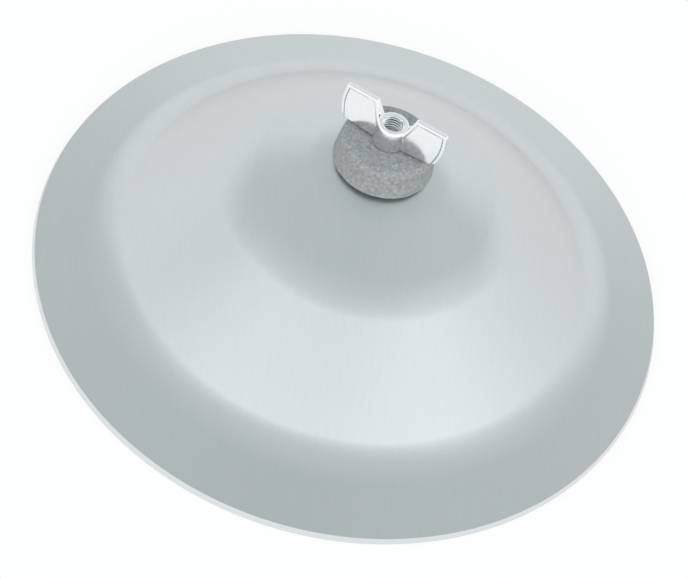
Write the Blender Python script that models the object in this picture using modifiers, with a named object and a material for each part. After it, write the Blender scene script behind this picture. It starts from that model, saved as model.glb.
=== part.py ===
"""Bell cymbal: a spun aluminium bell held between felts on a threaded stand mount."""
import math

import bmesh
import bpy
from mathutils import Vector

MM = 0.001

# Bell: one spun sheet, sized on its outer surface, slopes measured from the horizontal
RIM_DIAMETER = 254 * MM
FOOT_DIAMETER = 197.6 * MM
SHOULDER_DIAMETER = 106.8 * MM
SHEET = 3.5 * MM
BRIM_SLOPE = math.radians(15)
FLANK_SLOPE = math.radians(42.5)
CROWN_SLOPE = math.radians(24)
FOOT_FILLET = 35 * MM
SHOULDER_FILLET = 58 * MM
SEAT_FILLET = 22 * MM
SEAT_WIDTH = 1.75 * MM
HOLE_EDGE = 0.4 * MM
RIM_LAND = 3 * MM
RIM_BEVEL = 0.8 * MM
RIM_UPRIGHT = 0.2 * MM
RIM_FOOT = 0.7 * MM

# Thread of the stand, the stud and the wing nut, left plain at its pitch diameter
THREAD_DIAMETER = 8 * MM
THREAD_PITCH = 1.25 * MM
THREAD_GAP = 0.15 * MM
THREAD_ENGAGED = 3.2 * MM
THREAD_LEAD_IN = 0.6 * MM

# Nylon sleeve that keeps the thread off the bell
SLEEVE_WALL = 1 * MM
SLEEVE_CHAMFER = 0.3 * MM
SLEEVE_PLAY = 0.25 * MM

# Felt washers above and below the crown
FELT_DIAMETER = 39.2 * MM
FELT_THICKNESS = 11.6 * MM
FELT_DRAFT = 1.8 * MM
FELT_SOFT_EDGE = 2.6 * MM
FELT_CUT_EDGE = 0.5 * MM
FELT_PLAY = 0.35 * MM

# Pressed cup washer under the lower felt
WASHER_DIAMETER = 32 * MM
WASHER_SHEET = 1.2 * MM
WASHER_DEPTH = 2.7 * MM
WASHER_BEND = 0.8 * MM

# Mounting stud: thread, collar and hexagonal socket body turned from one bar
COLLAR_SEAT = 3.4 * MM
COLLAR_THICKNESS = 2 * MM
HEX_SIDES = 6
HEX_FLATS = 13 * MM
HEX_LENGTH = 22 * MM
HEX_RUNOUT = 0.5 * MM
HEX_CHAMFER = 0.7 * MM
HEX_CHAMFER_SLOPE = math.radians(30)
SOCKET_DEPTH = 16 * MM
DRILL_POINT = math.radians(118)

# Wing nut: a conical boss and two flat wings, with a raised border that is open below
BOSS_HEIGHT = 9.1 * MM
BOSS_FOOT_DIAMETER = 15 * MM
BOSS_TOP_DIAMETER = 11.8 * MM
BOSS_BEVEL = 0.7 * MM
WING_SPAN = 43.4 * MM
WING_TIP_SPAN = 41.6 * MM
WING_FOOT_SPAN = 39.8 * MM
WING_GAP = 17.2 * MM
WING_HEIGHT = 16.6 * MM
WING_BELLY_HEIGHT = 8.8 * MM
WING_LIFT = 0.8 * MM
WING_NOTCH = 1 * MM
WING_THICKNESS = 1.9 * MM
WING_DRAFT = math.radians(5)
WING_BORDER = 1.3 * MM
WEB_THICKNESS = 1.1 * MM
WING_EDGE = 0.25 * MM
WING_FOOT_FILLET = 4 * MM
WING_BELLY_FILLET = 19 * MM
WING_TIP_FILLET = 1.2 * MM
WING_TURN = math.radians(-16)

# Clearances and fineness
SEAT_GAP = 0.3 * MM
HOLE_PLAY = 1 * MM
OVERCUT = 1 * MM
CHORD_ERROR = 0.03 * MM
MERGE_DISTANCE = 0.005 * MM
EDGE_STEPS = 1
BELL_SIDES = 76
ROUND_SIDES = 40
SHARP_ANGLE = math.radians(30)

# Sizes that follow from the ones above
thread_radius = THREAD_DIAMETER / 2
pitch_radius = thread_radius - THREAD_PITCH * math.sqrt(3) * 3 / 16
sleeve_bore = thread_radius + SLEEVE_PLAY
sleeve_radius = sleeve_bore + SLEEVE_WALL
soft_bore = sleeve_radius + FELT_PLAY
bell_hole = sleeve_radius + HOLE_PLAY

rim_radius = RIM_DIAMETER / 2
foot_radius = FOOT_DIAMETER / 2
shoulder_radius = SHOULDER_DIAMETER / 2
seat_radius = bell_hole + SEAT_WIDTH + SEAT_FILLET * math.tan(CROWN_SLOPE / 2)
rim_height = SHEET / math.cos(BRIM_SLOPE) - RIM_LAND * math.tan(BRIM_SLOPE)
foot_height = rim_height + (rim_radius - foot_radius) * math.tan(BRIM_SLOPE)
shoulder_height = foot_height + (foot_radius - shoulder_radius) * math.tan(FLANK_SLOPE)
crown_height = shoulder_height + (shoulder_radius - seat_radius) * math.tan(CROWN_SLOPE)

# Heights of the pieces stacked above and below the crown
top_felt_base = crown_height + SEAT_GAP
top_felt_top = top_felt_base + FELT_THICKNESS
nut_base = top_felt_top + SEAT_GAP
stud_top = nut_base + THREAD_ENGAGED
lower_felt_top = crown_height - SHEET - SEAT_GAP
lower_felt_base = lower_felt_top - FELT_THICKNESS
washer_top = lower_felt_base - SEAT_GAP
collar_top = washer_top - WASHER_SHEET - SEAT_GAP
collar_base = collar_top - COLLAR_THICKNESS
hex_base = collar_base - HEX_LENGTH
sleeve_end = collar_top + SEAT_GAP


def rounded(corners):
    """Points of a closed outline whose corners (x, y, fillet) become tangent arcs."""
    points = []
    for index, (x, y, fillet) in enumerate(corners):
        corner = Vector((x, y))
        before = (Vector(corners[index - 1][:2]) - corner).normalized()
        after = (Vector(corners[(index + 1) % len(corners)][:2]) - corner).normalized()
        turn = math.pi - before.angle(after)
        if fillet == 0:
            points.append((x, y))
            continue
        centre = corner + (before + after).normalized() * fillet / math.cos(turn / 2)
        start = corner + before * fillet * math.tan(turn / 2) - centre
        if before.cross(after) > 0:
            turn = -turn
        steps = math.ceil(abs(turn) / (2 * math.acos(1 - CHORD_ERROR / fillet)))
        for step in range(steps + 1):
            angle = turn * step / steps
            cosine, sine = math.cos(angle), math.sin(angle)
            points.append((centre.x + start.x * cosine - start.y * sine,
                           centre.y + start.x * sine + start.y * cosine))
    return points


def inset(corners, distance):
    """Corners (x, y) of an open outline moved to the right of its travel."""
    starts = []
    for first, last in zip(corners, corners[1:]):
        along = (Vector(last) - Vector(first)).normalized()
        starts.append((Vector(first) + Vector((along.y, -along.x)) * distance, along))
    moved = [starts[0][0]]
    for (first, along), (second, onward) in zip(starts, starts[1:]):
        moved.append(first + along * (second - first).cross(onward) / along.cross(onward))
    last, along = starts[-1]
    moved.append(last + along * (Vector(corners[-1]) - Vector(corners[-2])).length)
    return [(point.x, point.y) for point in moved]


def collection(name):
    """A new collection in the scene."""
    made = bpy.data.collections.new(name)
    bpy.context.scene.collection.children.link(made)
    return made


def surface(name, colour, metallic, roughness):
    """A Principled BSDF material."""
    material = bpy.data.materials.new(name)
    material.use_nodes = True
    shader = material.node_tree.nodes["Principled BSDF"]
    shader.inputs["Base Color"].default_value = (*colour, 1)
    shader.inputs["Metallic"].default_value = metallic
    shader.inputs["Roughness"].default_value = roughness
    return material


def turned(name, corners, group, sides=ROUND_SIDES):
    """A turned piece: a profile of (radius, height, fillet) spun round the Z axis."""
    outline = bmesh.new()
    ring = [outline.verts.new((radius, 0, height)) for radius, height in rounded(corners)]
    closed = ring[0].co.x > 0
    for first, last in zip(ring, ring[1:] + ring[:1] if closed else ring[1:]):
        outline.edges.new((first, last))
    mesh = bpy.data.meshes.new(name)
    outline.to_mesh(mesh)
    outline.free()
    piece = bpy.data.objects.new(name, mesh)
    group.objects.link(piece)
    screw = piece.modifiers.new("turn", "SCREW")
    screw.steps = sides
    screw.render_steps = sides
    screw.use_merge_vertices = not closed
    screw.merge_threshold = MERGE_DISTANCE
    return piece


def plate(name, corners, thickness, edge):
    """A flat plate standing in the XZ plane, made a mesh so that it can be joined or cut."""
    curve = bpy.data.curves.new(name, "CURVE")
    curve.dimensions = "2D"
    curve.fill_mode = "BOTH"
    curve.extrude = thickness / 2 - edge
    curve.bevel_depth = edge
    curve.bevel_resolution = EDGE_STEPS
    curve.offset = -edge
    points = rounded(corners)
    spline = curve.splines.new("POLY")
    spline.points.add(len(points) - 1)
    spline.use_cyclic_u = True
    for target, (x, z) in zip(spline.points, points):
        target.co = (x, z, 0, 1)
    outline = bpy.data.objects.new(name + "_outline", curve)
    cutters.objects.link(outline)
    outline.rotation_euler.x = math.pi / 2
    view = bpy.context.evaluated_depsgraph_get()
    mesh = bpy.data.meshes.new_from_object(outline.evaluated_get(view))
    shape = bmesh.new()
    shape.from_mesh(mesh)
    bmesh.ops.remove_doubles(shape, verts=shape.verts, dist=MERGE_DISTANCE)
    shape.to_mesh(mesh)
    shape.free()
    solid = bpy.data.objects.new(name, mesh)
    cutters.objects.link(solid)
    solid.matrix_world = outline.matrix_world
    bpy.data.objects.remove(outline)
    return solid


def combine(piece, tool, operation):
    """Join a tool to a piece or cut it away, with the tool carried by the piece."""
    boolean = piece.modifiers.new(tool.name, "BOOLEAN")
    boolean.operation = operation
    boolean.object = tool
    tool.parent = piece
    tool.hide_render = True
    tool.display_type = "WIRE"


def axis(name, height, parent=None):
    """An empty on the centre line that carries the pieces moving about it."""
    empty = bpy.data.objects.new(name, None)
    empty.empty_display_size = THREAD_DIAMETER
    parts.objects.link(empty)
    empty.location.z = height
    carry(empty, parent)
    return empty


def carry(child, parent):
    """Parent one object to another without moving it."""
    if parent is None:
        return
    bpy.context.view_layer.update()
    child.parent = parent
    child.matrix_parent_inverse = parent.matrix_world.inverted()


def finish(piece, material, parent=None):
    """Give a piece its material, its carrier and smooth shading between sharp edges."""
    carry(piece, parent)
    view = bpy.context.evaluated_depsgraph_get()
    mesh = bpy.data.meshes.new_from_object(piece.evaluated_get(view))
    piece.modifiers.clear()
    piece.data = mesh
    mesh.shade_smooth()
    mesh.set_sharp_from_angle(angle=SHARP_ANGLE)
    mesh.materials.clear()
    mesh.materials.append(material)


def crown_line(depth):
    """Corners (radius, height) of the bell's surface this far inside, hole to rim."""
    outer = [(bell_hole, crown_height), (seat_radius, crown_height),
             (shoulder_radius, shoulder_height), (foot_radius, foot_height),
             (rim_radius, rim_height)]
    return inset(outer, depth)


def bell_shell():
    """The bell: flat seat at the hole, domed crown, straight flank, shallow brim."""
    hole, seat, shoulder, foot, _ = crown_line(0)
    inner_hole, inner_seat, inner_shoulder, inner_foot, _ = crown_line(SHEET)
    bevel_top = rim_height + RIM_BEVEL * math.tan(BRIM_SLOPE)
    return turned("bell_shell", [
        (*hole, HOLE_EDGE),
        (*seat, SEAT_FILLET),
        (*shoulder, SHOULDER_FILLET),
        (*foot, FOOT_FILLET),
        (rim_radius - RIM_BEVEL, bevel_top, 0),
        (rim_radius, RIM_FOOT + RIM_UPRIGHT, 0),
        (rim_radius, 0, RIM_FOOT),
        (rim_radius - RIM_LAND, 0, 0),
        (*inner_foot, FOOT_FILLET + SHEET),
        (*inner_shoulder, SHOULDER_FILLET - SHEET),
        (*inner_seat, SEAT_FILLET - SHEET),
        (*inner_hole, HOLE_EDGE),
    ], parts, BELL_SIDES)


def top_felt():
    """The upper felt: a die-cut ring, flat below, with a worn round upper edge."""
    radius = FELT_DIAMETER / 2
    return turned("top_felt", [
        (soft_bore, top_felt_top, 0),
        (radius - FELT_DRAFT, top_felt_top, FELT_SOFT_EDGE),
        (radius, top_felt_base, FELT_CUT_EDGE),
        (soft_bore, top_felt_base, 0),
    ], parts)


def lower_felt():
    """The lower felt, pressed up into the underside of the crown."""
    radius = FELT_DIAMETER / 2
    depth = SHEET + SEAT_GAP
    seat, height = crown_line(depth)[1]
    edge = height - (radius - seat) * math.tan(CROWN_SLOPE)
    return turned("lower_felt", [
        (soft_bore, height, 0),
        (seat, height, SEAT_FILLET - depth),
        (radius, edge, FELT_CUT_EDGE),
        (radius, lower_felt_base, FELT_CUT_EDGE),
        (soft_bore, lower_felt_base, 0),
    ], parts)


def sleeve():
    """The plain nylon sleeve from the nut down to the collar."""
    return turned("sleeve", [
        (sleeve_bore, top_felt_top, 0),
        (sleeve_radius - SLEEVE_CHAMFER, top_felt_top, 0),
        (sleeve_radius, top_felt_top - SLEEVE_CHAMFER, 0),
        (sleeve_radius, sleeve_end + SLEEVE_CHAMFER, 0),
        (sleeve_radius - SLEEVE_CHAMFER, sleeve_end, 0),
        (sleeve_bore, sleeve_end, 0),
    ], parts)


def cup_washer():
    """The pressed steel washer with its edge turned down round the collar."""
    radius = WASHER_DIAMETER / 2
    lip = washer_top - WASHER_DEPTH
    return turned("cup_washer", [
        (soft_bore, washer_top, 0),
        (radius, washer_top, WASHER_BEND + WASHER_SHEET),
        (radius, lip, 0),
        (radius - WASHER_SHEET, lip, 0),
        (radius - WASHER_SHEET, washer_top - WASHER_SHEET, WASHER_BEND),
        (soft_bore, washer_top - WASHER_SHEET, 0),
    ], parts)


def mounting_stud():
    """The stud: threaded rod over a round collar and a hexagonal body with a socket."""
    core = pitch_radius - THREAD_GAP
    socket = pitch_radius + THREAD_GAP
    collar = soft_bore + COLLAR_SEAT
    corner = HEX_FLATS / 2 / math.cos(math.pi / HEX_SIDES)
    socket_end = hex_base + SOCKET_DEPTH
    stud = turned("mounting_stud", [
        (0, stud_top, 0),
        (core - THREAD_LEAD_IN, stud_top, 0),
        (core, stud_top - THREAD_LEAD_IN, 0),
        (core, collar_top, 0),
        (collar, collar_top, 0),
        (collar, collar_base, 0),
        (corner, collar_base, 0),
        (corner, hex_base + HEX_CHAMFER, 0),
        (corner - HEX_CHAMFER / math.tan(HEX_CHAMFER_SLOPE), hex_base, 0),
        (socket + THREAD_LEAD_IN, hex_base, 0),
        (socket, hex_base + THREAD_LEAD_IN, 0),
        (socket, socket_end, 0),
        (0, socket_end + socket / math.tan(DRILL_POINT / 2), 0),
    ], parts)
    flats = turned("hex_flats", [
        (corner, collar_base - HEX_RUNOUT, 0),
        (corner + COLLAR_SEAT, collar_base - HEX_RUNOUT, 0),
        (corner + COLLAR_SEAT, hex_base - OVERCUT, 0),
        (corner, hex_base - OVERCUT, 0),
    ], cutters, HEX_SIDES)
    combine(stud, flats, "DIFFERENCE")
    return stud


def wing_outline():
    """Corners (x, height, fillet) of one wing, from the notch over the tip to the foot."""
    return [
        (BOSS_TOP_DIAMETER / 2 - WING_NOTCH, BOSS_HEIGHT - WING_NOTCH, 0),
        (WING_GAP / 2, WING_HEIGHT, WING_TIP_FILLET),
        (WING_TIP_SPAN / 2, WING_HEIGHT, WING_TIP_FILLET),
        (WING_SPAN / 2, WING_BELLY_HEIGHT, WING_BELLY_FILLET),
        (WING_FOOT_SPAN / 2, WING_LIFT, WING_FOOT_FILLET),
    ]


def draft(solid, faces):
    """Lean a standing plate's faces outwards below the wings' top, as the casting does."""
    for vertex in solid.data.vertices:
        way = math.copysign(1, -vertex.co.z) if faces == "both" else faces
        vertex.co.z -= way * (WING_HEIGHT - vertex.co.y) * math.tan(WING_DRAFT)


def wing_nut():
    """The cast wing nut: boss and wings in one, a thin web inside each raised border."""
    bore = pitch_radius + THREAD_GAP
    nut = turned("wing_nut", [
        (0, BOSS_HEIGHT, 0),
        (BOSS_TOP_DIAMETER / 2 - BOSS_BEVEL, BOSS_HEIGHT, 0),
        (BOSS_TOP_DIAMETER / 2, BOSS_HEIGHT - BOSS_BEVEL, 0),
        (BOSS_FOOT_DIAMETER / 2, 0, 0),
        (0, 0, 0),
    ], parts)
    right = wing_outline()
    left = [(-x, z, fillet) for x, z, fillet in reversed(right)]
    wings = plate("wings", right + left, WING_THICKNESS, WING_EDGE)
    draft(wings, "both")
    combine(nut, wings, "UNION")
    add_pockets(nut)
    bore_cut = turned("nut_bore", [
        (0, BOSS_HEIGHT + OVERCUT, 0),
        (bore + THREAD_LEAD_IN + OVERCUT, BOSS_HEIGHT + OVERCUT, 0),
        (bore, BOSS_HEIGHT - THREAD_LEAD_IN, 0),
        (bore, THREAD_LEAD_IN, 0),
        (bore + THREAD_LEAD_IN + OVERCUT, -OVERCUT, 0),
        (0, -OVERCUT, 0),
    ], cutters)
    combine(nut, bore_cut, "DIFFERENCE")
    nut.location.z = nut_base
    nut.rotation_euler.z = WING_TURN
    return nut


def add_pockets(nut):
    """Sink both faces of both wings to the web, down to the lower edge."""
    outline = wing_outline()
    root, *bends, foot = inset([(x, z) for x, z, _ in outline], WING_BORDER)
    start = BOSS_FOOT_DIAMETER / 2
    below = WING_LIFT - OVERCUT
    rise = (bends[0][1] - root[1]) / (bends[0][0] - root[0])
    lean = (bends[-1][0] - foot[0]) / (bends[-1][1] - foot[1])
    corners = [(start, root[1] + (start - root[0]) * rise, 0)]
    for (x, z), (_, _, fillet) in zip(bends, outline[1:]):
        corners.append((x, z, max(fillet - WING_BORDER, WING_EDGE)))
    corners.append((foot[0] + (below - foot[1]) * lean, below, 0))
    corners.append((start, below, 0))
    for side in (1, -1):
        for face in (1, -1):
            outline = [(side * x, z, fillet) for x, z, fillet in corners]
            pocket = plate("pocket", outline, WING_THICKNESS, 0)
            draft(pocket, face)
            pocket.location.y = face * (WEB_THICKNESS + WING_THICKNESS) / 2
            combine(nut, pocket, "DIFFERENCE")


for old in list(bpy.data.objects):
    bpy.data.objects.remove(old)

parts = collection("bell_cymbal")
cutters = collection("cutters")
aluminium = surface("satin aluminium", (0.6, 0.62, 0.63), 1, 0.38)
chrome = surface("chrome plate", (0.86, 0.87, 0.88), 1, 0.14)
zinc = surface("zinc plated steel", (0.5, 0.51, 0.52), 1, 0.3)
wool = surface("grey wool felt", (0.34, 0.35, 0.36), 0, 0.95)
nylon = surface("black nylon", (0.02, 0.02, 0.02), 0, 0.45)

spin_axis = axis("spin_axis", crown_height)
rock_pivot = axis("rock_pivot", crown_height - SHEET / 2, spin_axis)
nut_axis = axis("nut_axis", nut_base, rock_pivot)

finish(bell_shell(), aluminium)
finish(top_felt(), wool, spin_axis)
finish(lower_felt(), wool, spin_axis)
finish(cup_washer(), zinc, rock_pivot)
finish(mounting_stud(), zinc, rock_pivot)
finish(sleeve(), nylon, nut_axis)
finish(wing_nut(), chrome, nut_axis)
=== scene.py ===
"""Bell cymbal on its felts and wing nut: the fine shapes and finishes of every piece."""
import math

import bmesh
import bpy
from mathutils import Matrix, Vector, noise


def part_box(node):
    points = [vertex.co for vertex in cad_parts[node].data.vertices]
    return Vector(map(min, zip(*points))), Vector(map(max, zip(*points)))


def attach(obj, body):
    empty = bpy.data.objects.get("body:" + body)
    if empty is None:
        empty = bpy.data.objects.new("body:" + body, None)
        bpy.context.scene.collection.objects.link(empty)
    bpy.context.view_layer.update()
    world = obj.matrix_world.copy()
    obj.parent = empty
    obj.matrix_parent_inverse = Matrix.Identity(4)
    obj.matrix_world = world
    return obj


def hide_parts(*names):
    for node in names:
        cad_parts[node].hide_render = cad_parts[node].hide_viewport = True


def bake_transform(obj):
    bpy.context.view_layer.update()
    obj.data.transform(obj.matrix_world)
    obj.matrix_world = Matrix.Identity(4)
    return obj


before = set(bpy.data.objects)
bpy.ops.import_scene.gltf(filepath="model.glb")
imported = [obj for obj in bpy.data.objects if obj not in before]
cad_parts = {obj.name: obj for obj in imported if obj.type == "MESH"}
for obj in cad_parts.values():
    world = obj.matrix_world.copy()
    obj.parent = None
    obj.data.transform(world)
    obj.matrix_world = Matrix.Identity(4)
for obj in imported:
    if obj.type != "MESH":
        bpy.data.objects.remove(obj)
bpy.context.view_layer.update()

# Camera
# A long lens 0.9 m off looks down on the bell at 52 degrees and leans to the left,
# so that the bell fills the picture and its near edge lies low on the right
MM = 0.001
VIEW_DISTANCE = 900 * MM
VIEW_HEIGHT = math.radians(51.66)
VIEW_LEAN = math.radians(-17)
VIEW_SIDE = 2.05 * MM
VIEW_RISE = 7.39 * MM
LENS = 116.77

back = Vector((0, -math.cos(VIEW_HEIGHT), math.sin(VIEW_HEIGHT)))
right = Vector((1, 0, 0))
up = back.cross(right)
lean_right = right * math.cos(VIEW_LEAN) - up * math.sin(VIEW_LEAN)
lean_up = right * math.sin(VIEW_LEAN) + up * math.cos(VIEW_LEAN)

camera = bpy.data.objects.new("camera", bpy.data.cameras.new("camera"))
bpy.context.scene.collection.objects.link(camera)
camera.data.lens = LENS
camera.matrix_world = Matrix((lean_right, lean_up, back)).transposed().to_4x4()
camera.location = back * VIEW_DISTANCE - lean_right * VIEW_SIDE - lean_up * VIEW_RISE
bpy.context.scene.camera = camera
bpy.context.scene.view_settings.view_transform = "Standard"

# Floor
# A pale matt sheet, bright enough to vanish in the picture and in what the metal
# reflects, that still takes the bell's soft shadow
FLOOR_WIDTH = 8
FLOOR_PAINT = 0.3
FLOOR_GLOW = 0.72


def node(material, kind, inputs=None, **settings):
    """Add a shader node with its settings, and link or set its inputs by name or place."""
    made = material.node_tree.nodes.new(kind)
    for name, value in settings.items():
        setattr(made, name, value)
    for name, value in (inputs or {}).items():
        if isinstance(value, bpy.types.NodeSocket):
            material.node_tree.links.new(value, made.inputs[name])
        else:
            made.inputs[name].default_value = value
    return made


def seen_directly(material):
    """A socket that is 1 for what the camera, a reflection or glass shows."""
    path = node(material, "ShaderNodeLightPath")
    either = node(material, "ShaderNodeMath", {0: path.outputs["Is Camera Ray"],
                                               1: path.outputs["Is Glossy Ray"]}, operation="MAXIMUM")
    shown = node(material, "ShaderNodeMath", {0: either.outputs[0],
                                              1: path.outputs["Is Transmission Ray"]}, operation="MAXIMUM")
    return shown.outputs[0]


sheet = bmesh.new()
bmesh.ops.create_grid(sheet, x_segments=1, y_segments=1, size=FLOOR_WIDTH / 2)
floor_mesh = bpy.data.meshes.new("floor")
sheet.to_mesh(floor_mesh)
sheet.free()
floor = bpy.data.objects.new("floor", floor_mesh)
bpy.context.scene.collection.objects.link(floor)
paper = bpy.data.materials.new("pale_paper")
paper.use_nodes = True
paper.node_tree.nodes.clear()
matt = node(paper, "ShaderNodeBsdfDiffuse", {"Color": (FLOOR_PAINT, FLOOR_PAINT, FLOOR_PAINT, 1)})
glow_amount = node(paper, "ShaderNodeMath", {0: seen_directly(paper), 1: FLOOR_GLOW}, operation="MULTIPLY")
glow = node(paper, "ShaderNodeEmission", {"Strength": glow_amount.outputs[0]})
whole = node(paper, "ShaderNodeAddShader", {0: matt.outputs[0], 1: glow.outputs[0]})
node(paper, "ShaderNodeOutputMaterial", {"Surface": whole.outputs[0]})
floor_mesh.materials.append(paper)

# Studio light
# A white room under a cooler ceiling with darker and lighter bands, and before the bell a
# broad diffused light, a little to the right, which the metal shows as its bright flanks.
# A room level is a height, 0 level with the bell and 1 overhead, and the brightness there
ROOM_LEVELS = [(0, 1.09), (0.2, 1.14), (0.36, 1.16), (0.55, 0.58), (0.72, 0.89), (0.86, 0.65),
               (0.94, 0.86), (0.985, 0.64)]
WALL_TINT = Vector((0.98, 1, 1.01))
CEILING_TINT = Vector((0.93, 1, 1.015))
FRONT_GLOW = 0.86
FRONT_HEADING = math.radians(8.7)
FRONT_FULL_SIDE = math.radians(5)
FRONT_DARK_SIDE = math.radians(108)
FRONT_FULL_TOP = math.radians(39)
FRONT_DARK_TOP = math.radians(42.6)

world = bpy.data.worlds.new("white_room")
bpy.context.scene.world = world
world.use_nodes = True
world.node_tree.nodes.clear()
direction = node(world, "ShaderNodeTexCoord").outputs["Generated"]
height = node(world, "ShaderNodeSeparateXYZ", {0: direction}).outputs["Z"]
levels = node(world, "ShaderNodeValToRGB", {0: height})
ramp = levels.color_ramp
while len(ramp.elements) < len(ROOM_LEVELS):
    ramp.elements.new(0.5)
for stop, (position, level) in zip(ramp.elements, ROOM_LEVELS):
    stop.position = position
    stop.color = (*WALL_TINT.lerp(CEILING_TINT, position) * level, 1)

level_way = node(world, "ShaderNodeVectorMath", {0: direction, 1: (1, 1, 0)}, operation="MULTIPLY")
heading = node(world, "ShaderNodeVectorMath", {0: level_way.outputs[0]}, operation="NORMALIZE")
front_way = (math.sin(FRONT_HEADING), -math.cos(FRONT_HEADING), 0)
facing = node(world, "ShaderNodeVectorMath", {0: heading.outputs[0], 1: front_way},
              operation="DOT_PRODUCT")
side_fade = node(world, "ShaderNodeMapRange", {
    0: facing.outputs["Value"],
    1: math.cos(FRONT_DARK_SIDE),
    2: math.cos(FRONT_FULL_SIDE),
    4: FRONT_GLOW,
}, interpolation_type="SMOOTHSTEP")
top_fade = node(world, "ShaderNodeMapRange", {
    0: height,
    1: math.sin(FRONT_DARK_TOP),
    2: math.sin(FRONT_FULL_TOP),
}, interpolation_type="SMOOTHSTEP")
front = node(world, "ShaderNodeMath", {0: side_fade.outputs[0], 1: top_fade.outputs[0]},
             operation="MULTIPLY")
lit = node(world, "ShaderNodeMix", {0: 1, 6: levels.outputs[0], 7: front.outputs[0]},
           data_type="RGBA", blend_type="ADD")
camera_sees = node(world, "ShaderNodeLightPath").outputs["Is Camera Ray"]
backdrop = node(world, "ShaderNodeMix", {0: camera_sees, 6: lit.outputs[2], 7: (1, 1, 1, 1)},
                data_type="RGBA")
room = node(world, "ShaderNodeBackground", {"Color": backdrop.outputs[2]})
node(world, "ShaderNodeOutputWorld", {"Surface": room.outputs[0]})

# Mounting stud
# One steel bar turned to a rod, a collar and a hexagonal body, threaded outside and
# tapped below for the stand, then zinc plated
THREAD_DIAMETER = 8 * MM
THREAD_PITCH = 1.25 * MM
THREAD_DEPTH = THREAD_PITCH * math.sqrt(3) * 5 / 16
THREAD_CREST = THREAD_PITCH / 8
THREAD_ROOT = THREAD_PITCH / 4
THREAD_PLAY = 0.05 * MM
THREAD_LEAD_IN = 0.6 * MM
THREAD_SIDES = 48
COLLAR_DIAMETER = 18 * MM
COLLAR_THICKNESS = 2 * MM
HEX_SIDES = 6
HEX_FLATS = 13 * MM
HEX_LENGTH = 22 * MM
HEX_NECK = 0.5 * MM
HEX_CHAMFER_HEIGHT = 0.7 * MM
HEX_CHAMFER_WIDTH = 1.4 * MM
SOCKET_DEPTH = 16 * MM
BROKEN_EDGE = 0.25 * MM
OVERLAP = 0.5 * MM
ROUND_SIDES = 120
EDGE_BENDS = 4
MERGE_DISTANCE = 0.001 * MM
SHARP_ANGLE = math.radians(32)
ZINC_COLOUR = (0.55, 0.57, 0.58)
ZINC_DARK = (0.5, 0.51, 0.53)
ZINC_LIGHT = (0.6, 0.62, 0.62)
ZINC_PATCH = 3 * MM
ZINC_ROUGHNESS = 0.24, 0.38
TOOL_MARK_SIZE = 0.25 * MM
TOOL_MARK_STRETCH = (60, 60, 1)
TOOL_MARK_DEPTH = 0.01 * MM

stud_low, stud_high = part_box("mounting_stud")


def outline(corners, bends):
    """A closed wire of corners (x, height, fillet) in the XZ plane, open on the Z axis."""
    shape = bmesh.new()
    line = [shape.verts.new((x, 0, height)) for x, height, _ in corners]
    closed = line[0].co.x > 0 or line[-1].co.x > 0
    for first, last in zip(line, line[1:] + line[:1] if closed else line[1:]):
        shape.edges.new((first, last))
    for index, (x, height, fillet) in enumerate(corners):
        if fillet:
            ends = corners[index - 1], corners[(index + 1) % len(corners)]
            before, after = (Vector((end[0] - x, end[1] - height)) for end in ends)
            turn = math.pi - before.angle(after)
            bmesh.ops.bevel(shape, geom=[line[index]], offset=fillet * math.tan(turn / 2),
                            offset_type="OFFSET", affect="VERTICES", segments=bends,
                            profile=0.5, material=-1)
    return shape


def turned(corners, sides=ROUND_SIDES, bends=EDGE_BENDS, grain=None):
    """Corners (radius, height, fillet) spun about Z, their lines cut no longer than the grain."""
    shape = outline(corners, bends)
    for edge in list(shape.edges):
        cuts = int(edge.calc_length() / grain) if grain else 0
        if cuts:
            bmesh.ops.subdivide_edges(shape, edges=[edge], cuts=cuts)
    bmesh.ops.spin(shape, geom=shape.verts[:] + shape.edges[:], cent=(0, 0, 0), axis=(0, 0, 1),
                   angle=math.tau, steps=sides, use_merge=True)
    bmesh.ops.remove_doubles(shape, verts=shape.verts, dist=MERGE_DISTANCE)
    bmesh.ops.recalc_face_normals(shape, faces=shape.faces)
    return shape


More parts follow.
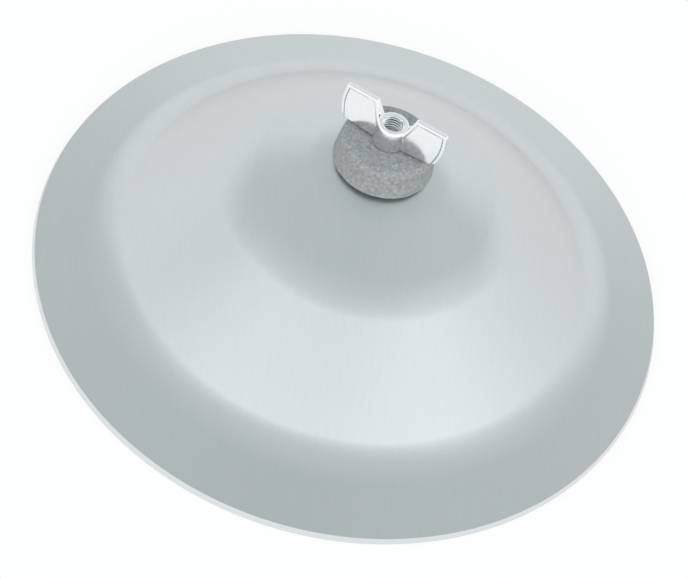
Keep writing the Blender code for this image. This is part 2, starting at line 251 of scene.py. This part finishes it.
def threaded(low, high, play):
    """A closed threaded rod between two heights, its ridges moved outwards by the play."""
    crest = THREAD_DIAMETER / 2 + play
    root = crest - THREAD_DEPTH
    shape = bmesh.new()
    # Every thread starts whole turns below the stud's top, so that they all mesh
    start = stud_high.z - THREAD_PITCH * (math.ceil((stud_high.z - low) / THREAD_PITCH) + 1)
    tooth = [
        (root, 0),
        (root, THREAD_ROOT / 2),
        (crest, (THREAD_PITCH - THREAD_CREST) / 2),
        (crest, (THREAD_PITCH + THREAD_CREST) / 2),
        (root, THREAD_PITCH - THREAD_ROOT / 2),
        (root, THREAD_PITCH),
    ]
    line = [shape.verts.new((radius, 0, start + rise)) for radius, rise in tooth]
    for first, last in zip(line, line[1:]):
        shape.edges.new((first, last))
    bmesh.ops.spin(shape, geom=shape.verts[:] + shape.edges[:], cent=(0, 0, 0), axis=(0, 0, 1),
                   dvec=(0, 0, THREAD_PITCH / THREAD_SIDES), angle=math.tau,
                   steps=THREAD_SIDES, use_merge=False)
    one_turn = shape.verts[:] + shape.edges[:] + shape.faces[:]
    for turn in range(1, math.ceil((high - start) / THREAD_PITCH) + 1):
        copied = bmesh.ops.duplicate(shape, geom=one_turn)["geom"]
        bmesh.ops.translate(shape, verts=[item for item in copied if isinstance(item, bmesh.types.BMVert)],
                            vec=(0, 0, turn * THREAD_PITCH))
    bmesh.ops.remove_doubles(shape, verts=shape.verts, dist=MERGE_DISTANCE)
    for height, way in ((high, 1), (low, -1)):
        bmesh.ops.bisect_plane(shape, geom=shape.verts[:] + shape.edges[:] + shape.faces[:],
                               plane_co=(0, 0, height), plane_no=(0, 0, way), clear_outer=True)
    bmesh.ops.holes_fill(shape, edges=shape.edges, sides=0)
    bmesh.ops.recalc_face_normals(shape, faces=shape.faces)
    return shape


def piece(name, shape, *materials):
    """An object with the shape as its mesh, smooth between sharp edges."""
    mesh = bpy.data.meshes.new(name)
    shape.to_mesh(mesh)
    shape.free()
    made = bpy.data.objects.new(name, mesh)
    bpy.context.scene.collection.objects.link(made)
    for material in materials:
        mesh.materials.append(material)
    smooth(made)
    return made


def smooth(made):
    """Shade an object smooth and keep its sharp edges."""
    made.data.shade_smooth()
    made.data.set_sharp_from_angle(angle=SHARP_ANGLE)


def settle(made):
    """Make an object's modifiers part of its mesh."""
    view = bpy.context.evaluated_depsgraph_get()
    mesh = bpy.data.meshes.new_from_object(made.evaluated_get(view))
    made.modifiers.clear()
    made.data = mesh
    smooth(made)


def combine(made, shape, operation):
    """Join a shape to an object, or cut the shape away."""
    tool = piece(made.name + "_tool", shape)
    boolean = made.modifiers.new("combine", "BOOLEAN")
    boolean.operation = operation
    boolean.solver = "MANIFOLD"
    boolean.object = tool
    settle(made)
    bpy.data.objects.remove(tool)


def place(made, cad_node, body):
    """Put a piece in the stead of its plain solid and on the body that carries it."""
    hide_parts(cad_node)
    if body:
        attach(made, body)


def finish(name, colour, metallic, roughness):
    """A new material with its main shader values set."""
    material = bpy.data.materials.new(name)
    material.use_nodes = True
    shader = material.node_tree.nodes["Principled BSDF"]
    shader.inputs["Base Color"].default_value = (*colour, 1)
    shader.inputs["Metallic"].default_value = metallic
    shader.inputs["Roughness"].default_value = roughness
    return material


def speckle(material, size, stretch=(1, 1, 1), turn=0, detail=3):
    """A noise of this grain size, drawn out along the axes and then turned about Z."""
    place_of = node(material, "ShaderNodeTexCoord").outputs["Object"]
    drawn = node(material, "ShaderNodeMapping", {"Vector": place_of, "Rotation": (0, 0, turn),
                                                 "Scale": stretch}, vector_type="TEXTURE")
    return node(material, "ShaderNodeTexNoise", {"Vector": drawn.outputs[0], "Scale": 1 / size,
                                                 "Detail": detail}).outputs[0]


def between(material, factor, low, high, start=0.3, end=0.7):
    """The factor's run from start to end made a run from low to high."""
    return node(material, "ShaderNodeMapRange", {0: factor, 1: start, 2: end, 3: low, 4: high}).outputs[0]


def shade(material, factor, dark, light):
    """A colour between dark and light by the factor."""
    mixed = node(material, "ShaderNodeMix", {0: factor, 6: (*dark, 1), 7: (*light, 1)}, data_type="RGBA")
    return mixed.outputs[2]


def set_looks(material, colour=None, roughness=None, height=None, depth=0):
    """Link colour, roughness and a relief of this depth to the shader."""
    links = material.node_tree.links
    shader = material.node_tree.nodes["Principled BSDF"]
    if colour:
        links.new(colour, shader.inputs["Base Color"])
    if roughness:
        links.new(roughness, shader.inputs["Roughness"])
    if height:
        bump = node(material, "ShaderNodeBump", {"Height": height, "Distance": depth})
        links.new(bump.outputs[0], shader.inputs["Normal"])


zinc = finish("zinc_plated_steel", ZINC_COLOUR, metallic=1, roughness=0.3)
tool_marks = speckle(zinc, TOOL_MARK_SIZE, stretch=TOOL_MARK_STRETCH)
patches = between(zinc, speckle(zinc, ZINC_PATCH), 0, 1)
set_looks(zinc, shade(zinc, patches, ZINC_DARK, ZINC_LIGHT),
          between(zinc, tool_marks, *ZINC_ROUGHNESS), tool_marks, TOOL_MARK_DEPTH)

collar_top = stud_low.z + HEX_LENGTH + COLLAR_THICKNESS
collar_base = stud_low.z + HEX_LENGTH
hex_corner = HEX_FLATS / 2 / math.cos(math.pi / HEX_SIDES)
stud = piece("turned_stud", turned([
    (0, collar_top, 0),
    (COLLAR_DIAMETER / 2, collar_top, BROKEN_EDGE),
    (COLLAR_DIAMETER / 2, collar_base, BROKEN_EDGE),
    (hex_corner, collar_base, 0),
    (hex_corner, stud_low.z + HEX_CHAMFER_HEIGHT, 0),
    (hex_corner - HEX_CHAMFER_WIDTH, stud_low.z, 0),
    (0, stud_low.z, 0),
]), zinc)
combine(stud, turned([
    (hex_corner, collar_base - HEX_NECK, 0),
    (COLLAR_DIAMETER, collar_base - HEX_NECK, 0),
    (COLLAR_DIAMETER, stud_low.z - OVERLAP, 0),
    (hex_corner, stud_low.z - OVERLAP, 0),
], sides=HEX_SIDES), "DIFFERENCE")
combine(stud, threaded(collar_top - OVERLAP, stud_high.z, -THREAD_PLAY), "UNION")
combine(stud, turned([
    (THREAD_DIAMETER / 2 - THREAD_LEAD_IN, stud_high.z + OVERLAP, 0),
    (THREAD_DIAMETER / 2 - THREAD_LEAD_IN, stud_high.z, 0),
    (THREAD_DIAMETER / 2, stud_high.z - THREAD_LEAD_IN, 0),
    (THREAD_DIAMETER, stud_high.z - THREAD_LEAD_IN, 0),
    (THREAD_DIAMETER, stud_high.z + OVERLAP, 0),
]), "DIFFERENCE")
combine(stud, threaded(stud_low.z - OVERLAP, stud_low.z + SOCKET_DEPTH, THREAD_PLAY), "DIFFERENCE")
place(stud, "mounting_stud", "mount")

# Cup washer
# A steel disc pressed to a shallow cup with its edge turned down, zinc plated, that
# carries the lower felt on the collar
WASHER_SHEET = 1.2 * MM
WASHER_BEND = 0.8 * MM
WASHER_BENDS = 6
WASHER_BORE_RADIUS = 5.6 * MM

washer_low, washer_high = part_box("cup_washer")
washer_radius = washer_high.x
washer = piece("pressed_cup_washer", turned([
    (WASHER_BORE_RADIUS, washer_high.z, BROKEN_EDGE),
    (washer_radius, washer_high.z, WASHER_BEND + WASHER_SHEET),
    (washer_radius, washer_low.z, BROKEN_EDGE),
    (washer_radius - WASHER_SHEET, washer_low.z, BROKEN_EDGE),
    (washer_radius - WASHER_SHEET, washer_high.z - WASHER_SHEET, WASHER_BEND),
    (WASHER_BORE_RADIUS, washer_high.z - WASHER_SHEET, BROKEN_EDGE),
], bends=WASHER_BENDS), zinc)
place(washer, "cup_washer", "mount")

# Lower felt
# A ring of hard grey wool felt, die-cut and pressed up into the crown, loose on the
# sleeve between the cup washer and the bell
FELT_BORE_RADIUS = 5.95 * MM
FELT_CUT_EDGE = 0.5 * MM
FELT_GRAIN = 0.45 * MM
FELT_SIDES = 280
LUMP_SIZE = 7 * MM
LUMP_DEPTH = 0.1 * MM
TUFT_SIZE = 0.9 * MM
TUFT_DEPTH = 0.12 * MM
TUFT_LAYERS = 3
TUFT_LAYER_STEP = 2
TUFT_LAYER_FADE = 0.6
FELT_SLACK = 0.1 * MM
PRESSED_RADIUS = 12.7 * MM
PRESSED_SLOPE = math.radians(15)
PRESSED_FILLET = 18 * MM
WOOL_COLOUR = (0.33, 0.345, 0.35)
WOOL_DARK = (0.26, 0.272, 0.276)
WOOL_LIGHT = (0.385, 0.4, 0.405)
WOOL_ROUGHNESS = 0.9, 1
MOTTLE_SIZE = 1.4 * MM
MOTTLE_DEPTH = 0.12 * MM
FIBRE_COLOUR = (0.7, 0.72, 0.73, 1)
FIBRE_SHARE = 0.75
FIBRE_SIZE = 0.34 * MM
FIBRE_STRETCH = 5
FIBRE_WAYS = 0.6, -0.7, 1.5
FLECK_SIZE = 0.55 * MM


def felted(shape, seed):
    """Give a felt ring its uneven, matted surface."""
    spot = Vector((seed, 0, 0))
    shape.normal_update()
    for vertex in shape.verts:
        lump = noise.noise(vertex.co / LUMP_SIZE + spot) * LUMP_DEPTH
        tuft = noise.fractal(vertex.co / TUFT_SIZE + spot, TUFT_LAYER_FADE, TUFT_LAYER_STEP, TUFT_LAYERS)
        vertex.co += vertex.normal * (lump + tuft * TUFT_DEPTH - FELT_SLACK)
    return shape


wool = finish("grey_wool_felt", WOOL_COLOUR, metallic=0, roughness=0.95)
mottle = speckle(wool, MOTTLE_SIZE, detail=5)
grey = shade(wool, between(wool, mottle, 0, 1, start=0.32, end=0.68), WOOL_DARK, WOOL_LIGHT)
flecks = [(FLECK_SIZE, 1, 0)]
fibres = [(FIBRE_SIZE, FIBRE_STRETCH, way) for way in FIBRE_WAYS]
for size, drawn_out, way in flecks + fibres:
    pale = speckle(wool, size, stretch=(drawn_out, 1, 1), turn=way, detail=2)
    grey = node(wool, "ShaderNodeMix", {0: between(wool, pale, 0, FIBRE_SHARE, start=0.64, end=0.74),
                                        6: grey, 7: FIBRE_COLOUR}, data_type="RGBA").outputs[2]
set_looks(wool, grey, between(wool, mottle, *WOOL_ROUGHNESS), mottle, MOTTLE_DEPTH)

felt_low, felt_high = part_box("lower_felt")
felt_radius = felt_high.x
lower_felt = piece("lower_felt_ring", felted(turned([
    (FELT_BORE_RADIUS, felt_high.z, 0),
    (PRESSED_RADIUS, felt_high.z, PRESSED_FILLET),
    (felt_radius, felt_high.z - (felt_radius - PRESSED_RADIUS) * math.tan(PRESSED_SLOPE), FELT_CUT_EDGE),
    (felt_radius, felt_low.z, FELT_CUT_EDGE),
    (FELT_BORE_RADIUS, felt_low.z, 0),
], sides=FELT_SIDES, grain=FELT_GRAIN), seed=3), wool)
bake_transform(lower_felt)
place(lower_felt, "lower_felt", None)

# Bell
# A disc of aluminium sheet spun over a form to a domed crown, a straight flank and a
# shallow brim round a flat seat, satin all over with its rim turned bright
SHEET = 3.5 * MM
BRIM_SLOPE = math.radians(15)
FLANK_SLOPE = math.radians(42.5)
CROWN_SLOPE = math.radians(24)
FOOT_RADIUS = 98.8 * MM
SHOULDER_RADIUS = 53.4 * MM
FOOT_FILLET = 35 * MM
SHOULDER_FILLET = 58 * MM
SEAT_FILLET = 22 * MM
SEAT_WIDTH = 1.75 * MM
DOME_RADIUS = 24 * MM
DOME_RISE = 2 * MM
DOME_FILLET = 40 * MM
HOLE_RADIUS = 6.25 * MM
HOLE_EDGE = 0.4 * MM
RIM_LAND = 3 * MM
RIM_BEVEL = 0.8 * MM
RIM_UPRIGHT = 0.2 * MM
RIM_FOOT = 0.7 * MM
BELL_SIDES = 320
BELL_BENDS = 14
SATIN_COLOUR = (0.6, 0.624, 0.63)
SATIN_DARK = (0.592, 0.616, 0.622)
SATIN_LIGHT = (0.608, 0.632, 0.638)
SATIN_ROUGHNESS = 0.36, 0.4
BRUSHING_SIZE = 0.9 * MM
BRUSHING_STRETCH = (1, 12, 300)
BRUSHING_TURN = math.radians(14)
BRUSHING_DEPTH = 0.003 * MM
GRIT_SIZE = 0.5 * MM
RIM_COLOUR = (0.74, 0.765, 0.775)
RIM_ROUGHNESS = 0.15, 0.22
RIM_PATCH = 2 * MM

_, bell_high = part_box("bell_shell")
rim_radius = bell_high.x
seat_radius = HOLE_RADIUS + SEAT_WIDTH + SEAT_FILLET * math.tan(CROWN_SLOPE / 2)
shoulder_height = bell_high.z - (SHOULDER_RADIUS - seat_radius) * math.tan(CROWN_SLOPE)
foot_height = shoulder_height - (FOOT_RADIUS - SHOULDER_RADIUS) * math.tan(FLANK_SLOPE)
rim_height = foot_height - (rim_radius - FOOT_RADIUS) * math.tan(BRIM_SLOPE)
dome_height = bell_high.z - (DOME_RADIUS - seat_radius) * math.tan(CROWN_SLOPE) + DOME_RISE
inner_slope = math.atan((bell_high.z - dome_height) / (DOME_RADIUS - seat_radius))
outer_slope = math.atan((dome_height - shoulder_height) / (SHOULDER_RADIUS - DOME_RADIUS))


def under(radius, height, slope_in, slope_out, fillet):
    """The corner of the sheet's lower side that lies under an upper corner."""
    inner, outer = (Vector((-math.sin(slope), -math.cos(slope))) for slope in (slope_in, slope_out))
    moved = Vector((radius, height)) + SHEET * (inner + outer) / (1 + inner.dot(outer))
    return moved.x, moved.y, fillet


profile = turned([
    (HOLE_RADIUS, bell_high.z, HOLE_EDGE),
    (seat_radius, bell_high.z, SEAT_FILLET),
    (DOME_RADIUS, dome_height, DOME_FILLET),
    (SHOULDER_RADIUS, shoulder_height, SHOULDER_FILLET),
    (FOOT_RADIUS, foot_height, FOOT_FILLET),
    (rim_radius - RIM_BEVEL, rim_height + RIM_BEVEL * math.tan(BRIM_SLOPE), 0),
    (rim_radius, RIM_FOOT + RIM_UPRIGHT, 0),
    (rim_radius, 0, RIM_FOOT),
    (rim_radius - RIM_LAND, 0, 0),
    under(FOOT_RADIUS, foot_height, FLANK_SLOPE, BRIM_SLOPE, FOOT_FILLET + SHEET),
    under(SHOULDER_RADIUS, shoulder_height, outer_slope, FLANK_SLOPE, SHOULDER_FILLET - SHEET),
    under(DOME_RADIUS, dome_height, inner_slope, outer_slope, DOME_FILLET - SHEET),
    under(seat_radius, bell_high.z, 0, inner_slope, SEAT_FILLET - SHEET),
    (HOLE_RADIUS, bell_high.z - SHEET, HOLE_EDGE),
], sides=BELL_SIDES, bends=BELL_BENDS)
# The rim's bevel, upright and foot take the second, bright finish
for face in profile.faces:
    face.material_index = int(face.calc_center_median().xy.length > rim_radius - RIM_BEVEL)

satin = finish("satin_spun_aluminium", SATIN_COLOUR, metallic=1, roughness=0.38)
brushed = speckle(satin, BRUSHING_SIZE, stretch=BRUSHING_STRETCH, turn=BRUSHING_TURN)
grit = speckle(satin, GRIT_SIZE, detail=2)
set_looks(satin, shade(satin, between(satin, brushed, 0, 1), SATIN_DARK, SATIN_LIGHT),
          between(satin, grit, *SATIN_ROUGHNESS), brushed, BRUSHING_DEPTH)
bright = finish("bright_turned_rim", RIM_COLOUR, metallic=1, roughness=0.18)
set_looks(bright, roughness=between(bright, speckle(bright, RIM_PATCH), *RIM_ROUGHNESS))
bell = piece("spun_bell", profile, satin, bright)
place(bell, "bell_shell", "bell")

# Upper felt
# A ring of the same grey felt, flat below, and worn round at its upper edge and narrower
# there, which the wing nut squeezes on the crown
UPPER_DRAFT = 1.8 * MM
WORN_EDGE = 2.6 * MM
WORN_BENDS = 6

felt_low, felt_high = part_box("top_felt")
upper_felt = piece("upper_felt_ring", felted(turned([
    (FELT_BORE_RADIUS, felt_high.z, 0),
    (felt_radius - UPPER_DRAFT, felt_high.z, WORN_EDGE),
    (felt_radius, felt_low.z, FELT_CUT_EDGE),
    (FELT_BORE_RADIUS, felt_low.z, 0),
], sides=FELT_SIDES, bends=WORN_BENDS, grain=FELT_GRAIN), seed=8), wool)
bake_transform(upper_felt)
place(upper_felt, "top_felt", None)

# Sleeve
# A plain black nylon tube, moulded, which stands loose in the felts and the bell and
# keeps the thread off them
SLEEVE_BORE_RADIUS = 4.25 * MM
NYLON_COLOUR = (0.02, 0.02, 0.021)
NYLON_ROUGHNESS = 0.38, 0.55
MOULDING_SIZE = 0.4 * MM
MOULDING_DEPTH = 0.01 * MM

sleeve_low, sleeve_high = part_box("sleeve")
nylon = finish("black_nylon", NYLON_COLOUR, metallic=0, roughness=0.45)
moulding = speckle(nylon, MOULDING_SIZE)
set_looks(nylon, roughness=between(nylon, moulding, *NYLON_ROUGHNESS),
          height=moulding, depth=MOULDING_DEPTH)
sleeve = piece("moulded_sleeve", turned([
    (SLEEVE_BORE_RADIUS, sleeve_high.z, 0),
    (sleeve_high.x, sleeve_high.z, BROKEN_EDGE),
    (sleeve_high.x, sleeve_low.z, BROKEN_EDGE),
    (SLEEVE_BORE_RADIUS, sleeve_low.z, 0),
]), nylon)
place(sleeve, "sleeve", "sleeve")

# Wing nut
# One zinc casting, chrome plated and tapped M8: a conical boss between two wings. Each
# wing is a thin web with a raised border on both faces, which leaves it open below
BOSS_HEIGHT = 9.1 * MM
BOSS_FOOT_RADIUS = 6.8 * MM
BOSS_TOP_RADIUS = 5.9 * MM
BOSS_BEVEL = 0.7 * MM
WING_THICKNESS = 1.9 * MM
WING_DRAFT = math.radians(5)
WING_ROOT_FLARE = 1.8 * MM
WING_CUTS = 1.5 * MM
WING_BORDER = 1.3 * MM
WEB_THICKNESS = 1.1 * MM
WING_SPAN = 44 * MM
WING_TIP_SPAN = 42.4 * MM
WING_FOOT_SPAN = 40.2 * MM
WING_GAP = 16.8 * MM
WING_HEIGHT = 16.6 * MM
WING_BELLY_HEIGHT = 8.8 * MM
WING_LIFT = 0.8 * MM
WING_NOTCH = 1 * MM
WING_TIP_FILLET = 1.2 * MM
WING_BELLY_FILLET = 19 * MM
WING_FOOT_FILLET = 4 * MM
WING_BENDS = 6
WING_TURN = math.radians(-16)
CAST_GRAIN = 0.16 * MM
CAST_SOFTENING = 7
NUT_SHARP_ANGLE = math.radians(48)
CHROME_COLOUR = (0.88, 0.89, 0.9)
CHROME_DARK = (0.86, 0.87, 0.88)
CHROME_LIGHT = (0.9, 0.91, 0.92)
CHROME_ROUGHNESS = 0.12, 0.18
PLATING_SIZE = 1.5 * MM
PLATING_DEPTH = 0.01 * MM

nut_low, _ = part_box("wing_nut")


def half_wings(low, foot_fillet):
    """Corners (x, height, fillet) of the wings' right half, down to this height."""
    lean = (WING_SPAN - WING_FOOT_SPAN) / 2 / (WING_BELLY_HEIGHT - WING_LIFT)
    return [
        (0, low, 0),
        (0, BOSS_HEIGHT - WING_NOTCH, 0),
        (BOSS_TOP_RADIUS - WING_NOTCH, BOSS_HEIGHT - WING_NOTCH, 0),
        (WING_GAP / 2, WING_HEIGHT, WING_TIP_FILLET),
        (WING_TIP_SPAN / 2, WING_HEIGHT, WING_TIP_FILLET),
        (WING_SPAN / 2, WING_BELLY_HEIGHT, WING_BELLY_FILLET),
        (WING_SPAN / 2 - (WING_BELLY_HEIGHT - low) * lean, low, foot_fillet),
    ]


def plate(corners, back, front):
    """A standing plate of corners (x, height, fillet) between two depths, thicker below and by the boss."""
    shape = outline(corners, WING_BENDS)
    face = bmesh.ops.contextual_create(shape, geom=shape.edges[:])["faces"][0]
    bmesh.ops.solidify(shape, geom=[face], thickness=front - back)
    middle = sum(vertex.co.y for vertex in shape.verts) / len(shape.verts)
    for way, reach in (((1, 0, 0), WING_SPAN / 2), ((0, 0, 1), WING_HEIGHT)):
        for step in range(1, int(reach / WING_CUTS)):
            bmesh.ops.bisect_plane(shape, geom=shape.verts[:] + shape.edges[:] + shape.faces[:],
                                   plane_co=Vector(way) * step * WING_CUTS, plane_no=way)
    for vertex in shape.verts:
        depth = front if vertex.co.y > middle else back
        drop = WING_HEIGHT - vertex.co.z
        flare = WING_ROOT_FLARE * drop / WING_HEIGHT * (1 - vertex.co.x / WING_SPAN * 2)
        vertex.co.y = depth + math.copysign(drop * math.tan(WING_DRAFT) + flare, depth)
    bmesh.ops.recalc_face_normals(shape, faces=shape.faces)
    return shape


def pocket():
    """Corners of the recess: the wing's, carried on below it and then moved in by its border."""
    corners = half_wings(WING_LIFT - 2 * WING_BORDER, 0)
    shape = bmesh.new()
    face = shape.faces.new([shape.verts.new((x, 0, height)) for x, height, _ in corners])
    face.normal_update()
    bmesh.ops.inset_individual(shape, faces=[face], thickness=WING_BORDER, use_even_offset=True)
    moved = [(vertex.co.x, vertex.co.z) for vertex in face.verts]
    shape.free()
    return [(x, z, max(fillet - WING_BORDER, BROKEN_EDGE) if fillet else 0)
            for (x, z), (_, _, fillet) in zip(moved, corners)]


wing_corners = half_wings(WING_LIFT, WING_FOOT_FILLET)
wing = piece("wing", plate(wing_corners, -WING_THICKNESS / 2, WING_THICKNESS / 2))
for side in (1, -1):
    depths = sorted((side * WEB_THICKNESS / 2, side * WING_THICKNESS))
    combine(wing, plate(pocket(), *depths), "DIFFERENCE")
wing_shape = bmesh.new()
wing_shape.from_mesh(wing.data)
bpy.data.objects.remove(wing)

chrome = finish("chrome_plate", CHROME_COLOUR, metallic=1, roughness=0.14)
plating = speckle(chrome, PLATING_SIZE, detail=4)
set_looks(chrome, shade(chrome, between(chrome, plating, 0, 1), CHROME_DARK, CHROME_LIGHT),
          between(chrome, plating, *CHROME_ROUGHNESS), plating, PLATING_DEPTH)

nut = piece("cast_wing_nut", turned([
    (0, BOSS_HEIGHT, 0),
    (BOSS_TOP_RADIUS - BOSS_BEVEL, BOSS_HEIGHT, 0),
    (BOSS_TOP_RADIUS, BOSS_HEIGHT - BOSS_BEVEL, 0),
    (BOSS_FOOT_RADIUS, 0, 0),
    (0, 0, 0),
]), chrome)
for turn in (0, math.pi):
    side_shape = wing_shape.copy()
    bmesh.ops.rotate(side_shape, verts=side_shape.verts, cent=(0, 0, 0),
                     matrix=Matrix.Rotation(turn, 3, "Z"))
    combine(nut, side_shape, "UNION")
wing_shape.free()
casting = nut.modifiers.new("casting", "REMESH")
casting.mode = "VOXEL"
casting.voxel_size = CAST_GRAIN
softening = nut.modifiers.new("softening", "SMOOTH")
softening.iterations = CAST_SOFTENING
settle(nut)
nut.data.transform(Matrix.Translation((0, 0, nut_low.z)) @ Matrix.Rotation(WING_TURN, 4, "Z"))
combine(nut, threaded(nut_low.z - OVERLAP, nut_low.z + BOSS_HEIGHT + OVERLAP, THREAD_PLAY), "DIFFERENCE")
mouth = THREAD_DIAMETER / 2 + BROKEN_EDGE
for height, way in ((nut_low.z, -1), (nut_low.z + BOSS_HEIGHT, 1)):
    combine(nut, turned([
        (0, height + way * OVERLAP, 0),
        (mouth + OVERLAP, height + way * OVERLAP, 0),
        (0, height - way * mouth, 0),
    ]), "DIFFERENCE")
nut.data.materials.clear()
nut.data.materials.append(chrome)
nut.data.set_sharp_from_angle(angle=NUT_SHARP_ANGLE)
place(nut, "wing_nut", "wing_nut")
